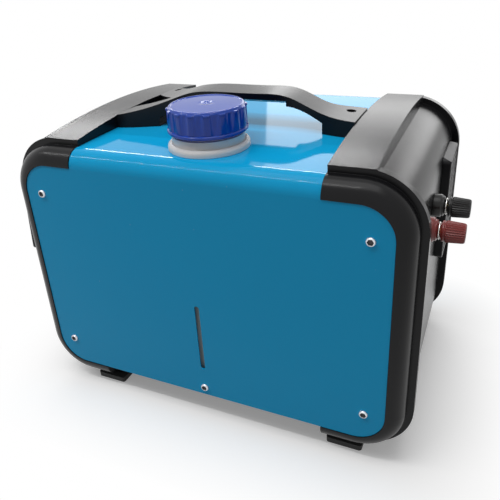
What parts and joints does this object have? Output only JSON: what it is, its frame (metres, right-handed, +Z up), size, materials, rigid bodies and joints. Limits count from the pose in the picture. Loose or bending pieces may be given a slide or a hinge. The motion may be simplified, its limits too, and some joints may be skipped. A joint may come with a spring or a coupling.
{
  "type": "diesel air heater",
  "caption": "Portable diesel air heater in a carrying case with a built-in fuel tank, a top filler with a screw cap, a fixed handle, louvred warm-air outlet, intake grille and power posts.",
  "frame": {"origin": "on the floor, under the middle of the heater's overall box", "axes": "+X to the right seen from the panel with the fuel level slot, +Y to the back, +Z up"},
  "size_m": [0.4565, 0.2764, 0.3205],
  "materials": {
    "blue_paint": "gloss blue paint",
    "black_case_plastic": "satin moulded black",
    "black_trim_plastic": "satin black",
    "tray_steel": "black coated sheet",
    "screw_steel": "bright zinc",
    "foot_rubber": "matte",
    "tank_plastic": "translucent white, taken as opaque",
    "collar_plastic": "satin white",
    "cap_plastic": "blue",
    "seal_rubber": "soft",
    "core_plastic": "glass-filled black",
    "cast_alloy": "as cast",
    "burner_steel": "heat tinted",
    "ceramic": "ceramic, taken as a hard plastic",
    "motor_steel": "zinc grey",
    "shaft_steel": "ground",
    "fan_plastic": "black",
    "bracket_steel": "zinc plated",
    "pump_metal": "satin",
    "spring_steel": "bright",
    "fitting_brass": "turned",
    "hose_plastic": "soft black",
    "unit_plastic": "black",
    "display": "dark tinted",
    "board": "green laminate",
    "key_plastic": "satin grey",
    "stud_brass": "turned",
    "plated_ring": "bright plated",
    "black_post_plastic": "black",
    "red_post_plastic": "dark red"
  },
  "bodies": {
    "case": {"cover_sheet": "blue_paint", "left_end_cap": "black_case_plastic", "right_end_cap": "black_case_plastic", "base_tray": "tray_steel", "front_panel_screws": "screw_steel", "rear_panel_screws": "screw_steel", "rubber_feet": "foot_rubber", "foot_screws": "screw_steel", "carry_handle": "black_trim_plastic", "handle_screws": "screw_steel", "fuel_tank": "tank_plastic", "tank_neck": "tank_plastic", "tank_supports": "bracket_steel", "filler_collar": "collar_plastic", "core_lower_housing": "core_plastic", "core_upper_housing": "core_plastic", "heat_exchanger": "cast_alloy", "combustion_chamber": "burner_steel", "glow_pin": "ceramic", "fan_motor": "motor_steel", "core_brackets": "bracket_steel", "exhaust_pipe": "burner_steel", "combustion_air_pipe": "core_plastic", "fuel_pump": "pump_metal", "pump_spring": "spring_steel", "pump_clamp": "bracket_steel", "fuel_fitting": "fitting_brass", "suction_line": "hose_plastic", "delivery_line": "hose_plastic", "control_unit": "unit_plastic", "outlet_plenum": "core_plastic", "outlet_frame": "black_trim_plastic", "intake_grille": "black_trim_plastic", "grille_mesh": "black_trim_plastic", "post_studs": "stud_brass", "control_panel": "black_trim_plastic", "display_window": "display", "control_board": "board", "black_post_base": "black_post_plastic", "red_post_base": "red_post_plastic"},
    "rotor": {"motor_shaft": "shaft_steel", "blower_fan": "fan_plastic", "combustion_fan": "fan_plastic"},
    "cap_slider": {"cap_seal": "seal_rubber"},
    "filler_cap": {"fuel_cap": "cap_plastic"},
    "plunger": {"pump_plunger": "shaft_steel"},
    "link": {"louvre_link": "black_trim_plastic"},
    "louvre_1": {"louvre_1": "black_trim_plastic"},
    "louvre_2": {"louvre_2": "black_trim_plastic"},
    "louvre_3": {"louvre_3": "black_trim_plastic"},
    "louvre_4": {"louvre_4": "black_trim_plastic"},
    "black_slider": {"black_post_ring": "plated_ring"},
    "black_knob": {"black_post_knob": "black_post_plastic"},
    "red_slider": {"red_post_ring": "plated_ring"},
    "red_knob": {"red_post_knob": "red_post_plastic"},
    "power_key": {"power_button": "key_plastic"},
    "up_key": {"up_button": "key_plastic"},
    "down_key": {"down_button": "key_plastic"},
    "menu_key": {"menu_button": "key_plastic"}
  },
  "joints": [
    {"name": "cap_lift", "type": "slide", "parent": "case", "child": "cap_slider", "axis": [0, 0, 1], "range_m": [0, 0.0101]},
    {"name": "cap_turn", "type": "hinge", "parent": "cap_slider", "child": "filler_cap", "pos_m": [0, -0.082, 0.302], "axis": [0, 0, 1], "range_deg": [0, 900]},
    {"name": "black_post_lift", "type": "slide", "parent": "case", "child": "black_slider", "axis": [1, 0, 0], "range_m": [0, 0.0041]},
    {"name": "black_post_turn", "type": "hinge", "parent": "black_slider", "child": "black_knob", "pos_m": [0.218, -0.031, 0.2245], "axis": [1, 0, 0], "range_deg": [0, 1440]},
    {"name": "red_post_lift", "type": "slide", "parent": "case", "child": "red_slider", "axis": [1, 0, 0], "range_m": [0, 0.0041]},
    {"name": "red_post_turn", "type": "hinge", "parent": "red_slider", "child": "red_knob", "pos_m": [0.218, -0.081, 0.2245], "axis": [1, 0, 0], "range_deg": [0, 1440]},
    {"name": "rotor_spin", "type": "hinge", "parent": "case", "child": "rotor", "pos_m": [0.1, 0.059, 0.183], "axis": [1, 0, 0], "continuous": true},
    {"name": "plunger_stroke", "type": "slide", "parent": "case", "child": "plunger", "axis": [1, 0, 0], "range_m": [0, 0.002], "stiffness_N_per_m": 300, "springref_m": -0.001, "deforming": ["pump_spring"]},
    {"name": "louvre_1_tilt", "type": "hinge", "parent": "case", "child": "louvre_1", "pos_m": [-0.209, 0, 0.162], "axis": [0, 1, 0], "range_deg": [-35, 35]},
    {"name": "louvre_2_tilt", "type": "hinge", "parent": "case", "child": "louvre_2", "pos_m": [-0.209, 0, 0.178], "axis": [0, 1, 0], "range_deg": [-35, 35]},
    {"name": "louvre_3_tilt", "type": "hinge", "parent": "case", "child": "louvre_3", "pos_m": [-0.209, 0, 0.194], "axis": [0, 1, 0], "range_deg": [-35, 35]},
    {"name": "louvre_4_tilt", "type": "hinge", "parent": "case", "child": "louvre_4", "pos_m": [-0.209, 0, 0.21], "axis": [0, 1, 0], "range_deg": [-35, 35]},
    {"name": "link_pivot", "type": "hinge", "parent": "louvre_1", "child": "link", "pos_m": [-0.203, 0.024, 0.162], "axis": [0, 1, 0], "range_deg": [-35, 35]},
    {"name": "power_press", "type": "slide", "parent": "case", "child": "power_key", "axis": [0.7071, 0, -0.7071], "range_m": [0, 0.0012], "stiffness_N_per_m": 400, "springref_m": -0.0005},
    {"name": "up_press", "type": "slide", "parent": "case", "child": "up_key", "axis": [0.7071, 0, -0.7071], "range_m": [0, 0.0012], "stiffness_N_per_m": 400, "springref_m": -0.0005},
    {"name": "down_press", "type": "slide", "parent": "case", "child": "down_key", "axis": [0.7071, 0, -0.7071], "range_m": [0, 0.0012], "stiffness_N_per_m": 400, "springref_m": -0.0005},
    {"name": "menu_press", "type": "slide", "parent": "case", "child": "menu_key", "axis": [0.7071, 0, -0.7071], "range_m": [0, 0.0012], "stiffness_N_per_m": 400, "springref_m": -0.0005}
  ],
  "couplings": [
    {"joint": "cap_lift", "follows": "cap_turn", "m_per_rad": 0.00063662},
    {"joint": "black_post_lift", "follows": "black_post_turn", "m_per_rad": 0.00015915},
    {"joint": "red_post_lift", "follows": "red_post_turn", "m_per_rad": 0.00015915},
    {"joint": "louvre_2_tilt", "follows": "louvre_1_tilt", "ratio": 1},
    {"joint": "louvre_3_tilt", "follows": "louvre_1_tilt", "ratio": 1},
    {"joint": "louvre_4_tilt", "follows": "louvre_1_tilt", "ratio": 1},
    {"joint": "link_pivot", "follows": "louvre_1_tilt", "ratio": -1}
  ]
}
